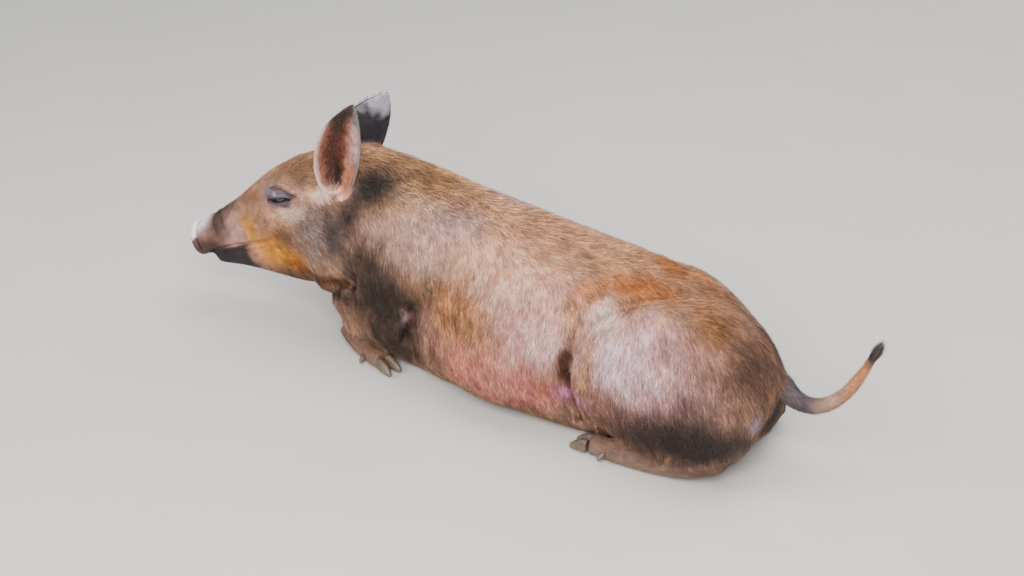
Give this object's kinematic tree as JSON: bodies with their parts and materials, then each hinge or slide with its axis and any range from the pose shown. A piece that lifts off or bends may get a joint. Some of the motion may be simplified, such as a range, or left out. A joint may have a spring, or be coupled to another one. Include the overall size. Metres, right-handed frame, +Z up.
{
  "type": "tamworth pig",
  "caption": "Life-size young Tamworth pig that lies on its belly with its legs folded under it and its head up, as a still museum model.",
  "frame": {"origin": "on the floor under the middle of the box that holds the whole model", "axes": "+Z up; the pig faces -X with its head turned towards its left, and its left side faces -Y"},
  "size_m": [1.25, 0.3304, 0.4462],
  "materials": {
    "skin": "ginger-brown bristly coat over greyish pink skin",
    "ear": "thin dark skin, pink inside, with short hair",
    "nose": "bare, slightly moist, grey-pink",
    "eye": "wet, dark brown",
    "hoof": "dull dark horn",
    "tuft": "coarse dark hair"
  },
  "bodies": {
    "root": {"barrel": "skin", "chest": "skin", "ear_left": "ear", "ear_right": "ear", "eye_left": "eye", "eye_right": "eye", "forefoot_left": "skin", "forefoot_left_dewclaw_inner": "hoof", "forefoot_left_dewclaw_outer": "hoof", "forefoot_left_hoof_inner": "hoof", "forefoot_left_hoof_outer": "hoof", "forefoot_right": "skin", "forefoot_right_dewclaw_inner": "hoof", "forefoot_right_dewclaw_outer": "hoof", "forefoot_right_hoof_inner": "hoof", "forefoot_right_hoof_outer": "hoof", "foreleg_left": "skin", "foreleg_right": "skin", "head": "skin", "hindfoot_left": "skin", "hindfoot_left_dewclaw_inner": "hoof", "hindfoot_left_dewclaw_outer": "hoof", "hindfoot_left_hoof_inner": "hoof", "hindfoot_left_hoof_outer": "hoof", "hindfoot_right": "skin", "hindfoot_right_dewclaw_inner": "hoof", "hindfoot_right_dewclaw_outer": "hoof", "hindfoot_right_hoof_inner": "hoof", "hindfoot_right_hoof_outer": "hoof", "neck": "skin", "nose_disc": "nose", "rump": "skin", "shoulder_left": "skin", "shoulder_right": "skin", "tail": "skin", "tail_tuft": "tuft", "thigh_left": "skin", "thigh_right": "skin"}
  },
  "joints": []
}
